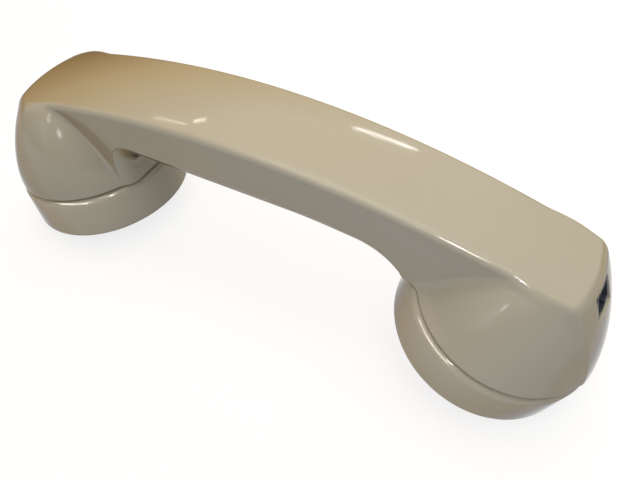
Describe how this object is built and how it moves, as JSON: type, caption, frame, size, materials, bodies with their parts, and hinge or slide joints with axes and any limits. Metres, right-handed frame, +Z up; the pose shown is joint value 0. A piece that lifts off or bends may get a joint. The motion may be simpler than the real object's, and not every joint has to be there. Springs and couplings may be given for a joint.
{
  "type": "telephone handset",
  "caption": "Desk telephone handset: one-piece moulded handle with domed ends, screw-on receiver and transmitter caps and a modular cord jack in the end wall.",
  "frame": {"origin": "on the table plane, below the middle of the length and width, with the handset lying caps down", "axes": "+X along the length from the receiver (ear) end to the transmitter (mouth) end, +Y across the grip, +Z up from the table"},
  "size_m": [0.2043, 0.057, 0.0604],
  "materials": {
    "ivory_plastic": "glossy moulded ABS, ivory",
    "jack_plastic": "satin moulded, dark grey",
    "aluminium_sheet": "plain drawn sheet",
    "diaphragm_foil": "thin formed foil",
    "plated_steel": "plated",
    "ferrite": null,
    "enamelled_copper": null,
    "brass": "plain",
    "lacquered_brass": "lacquered sheet",
    "phenolic": "moulded phenolic, brown",
    "suppressor_body": "moulded, black",
    "felt": "felt",
    "foam": null,
    "white_lead": "insulated lead, white",
    "red_lead": "insulated lead, red",
    "black_lead": "insulated lead, black"
  },
  "bodies": {
    "root": {"handle_shell": "ivory_plastic", "receiver_cap": "ivory_plastic", "transmitter_cap": "ivory_plastic", "handset_jack": "jack_plastic", "jack_contact_1": "brass", "jack_contact_2": "brass", "jack_contact_3": "brass", "jack_contact_4": "brass", "receiver_felt_ring": "felt", "receiver_case": "aluminium_sheet", "receiver_grid": "aluminium_sheet", "receiver_diaphragm": "diaphragm_foil", "receiver_pole_piece": "plated_steel", "receiver_magnet": "ferrite", "receiver_coil": "enamelled_copper", "receiver_terminal_board": "phenolic", "receiver_terminal_a": "brass", "receiver_terminal_b": "brass", "click_suppressor": "suppressor_body", "transmitter_case": "lacquered_brass", "transmitter_grid": "lacquered_brass", "transmitter_diaphragm": "diaphragm_foil", "carbon_chamber": "brass", "rear_electrode": "brass", "contact_cup": "phenolic", "contact_screw_a": "brass", "contact_screw_b": "brass", "contact_spring_a": "brass", "contact_spring_b": "brass", "receiver_lead_a": "white_lead", "receiver_lead_b": "white_lead", "transmitter_lead_a": "red_lead", "transmitter_lead_b": "black_lead", "acoustic_wad": "foam"}
  },
  "joints": []
}
